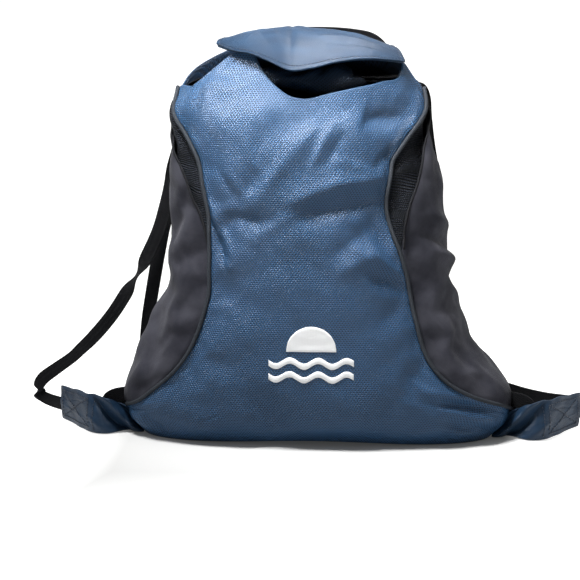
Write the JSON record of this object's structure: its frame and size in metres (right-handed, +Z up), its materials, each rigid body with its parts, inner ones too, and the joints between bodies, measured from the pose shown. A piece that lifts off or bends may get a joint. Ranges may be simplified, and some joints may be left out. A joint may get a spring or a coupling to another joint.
{
  "type": "drawstring backpack",
  "caption": "Stuffed drawstring backpack with piped side pockets, a flap over the gathered mouth, a haul loop and flat drawcord straps sewn to bottom corner tabs.",
  "frame": {"origin": "centre of the footprint on the table, at the bottom of the bag", "axes": "+Z up, +X across the bag's width, -Y towards its front panel"},
  "size_m": [0.5019, 0.1372, 0.3422],
  "materials": {
    "navy_dobby": "semi-gloss polyester with a small honeycomb dobby weave",
    "navy_satin": "plain satin polyester",
    "charcoal_cloth": "matt brushed cloth",
    "black_mesh": "ribbed spacer mesh",
    "black_binding": "matt binding tape",
    "grey_piping": "satin covered cord",
    "black_webbing": "woven flat webbing",
    "white_thread": "satin stitch embroidery"
  },
  "bodies": {
    "bag": {"front_panel": "navy_dobby", "back_panel": "navy_dobby", "base_panel": "navy_dobby", "side_panel_left": "charcoal_cloth", "side_panel_right": "charcoal_cloth", "pocket_lining_left": "black_mesh", "pocket_lining_right": "black_mesh", "pocket_binding_left": "black_binding", "pocket_binding_right": "black_binding", "piping_left": "grey_piping", "piping_right": "grey_piping", "casing_front": "navy_dobby", "casing_back": "navy_dobby", "corner_tab_left": "navy_satin", "corner_tab_right": "navy_satin", "tab_backing_left": "black_webbing", "tab_backing_right": "black_webbing", "strand_left_a": "black_webbing", "strand_left_b": "black_webbing", "strand_right_a": "black_webbing", "strand_right_b": "black_webbing", "emblem": "white_thread"},
    "flap": {"flap": "navy_satin", "flap_facing": "navy_satin"},
    "haul_loop": {"haul_loop": "black_webbing"},
    "drawcord_left": {"drawcord_loop_left": "black_webbing"},
    "drawcord_right": {"drawcord_loop_right": "black_webbing"}
  },
  "joints": [
    {"name": "flap_hinge", "type": "hinge", "parent": "bag", "child": "flap", "pos_m": [0, 0.026, 0.332], "axis": [-1, 0, 0], "range_deg": [0, 90]},
    {"name": "haul_loop_hinge", "type": "hinge", "parent": "bag", "child": "haul_loop", "pos_m": [0.003, 0.038, 0.306], "axis": [-1, 0, 0], "range_deg": [0, 90]},
    {"name": "drawcord_left_pull", "type": "slide", "parent": "bag", "child": "drawcord_left", "axis": [-1, 0, 0], "range_m": [0, 0.012], "deforming": ["strand_left_a", "strand_left_b"]},
    {"name": "drawcord_right_pull", "type": "slide", "parent": "bag", "child": "drawcord_right", "axis": [1, 0, 0], "range_m": [0, 0.012], "deforming": ["strand_right_a", "strand_right_b"]}
  ]
}
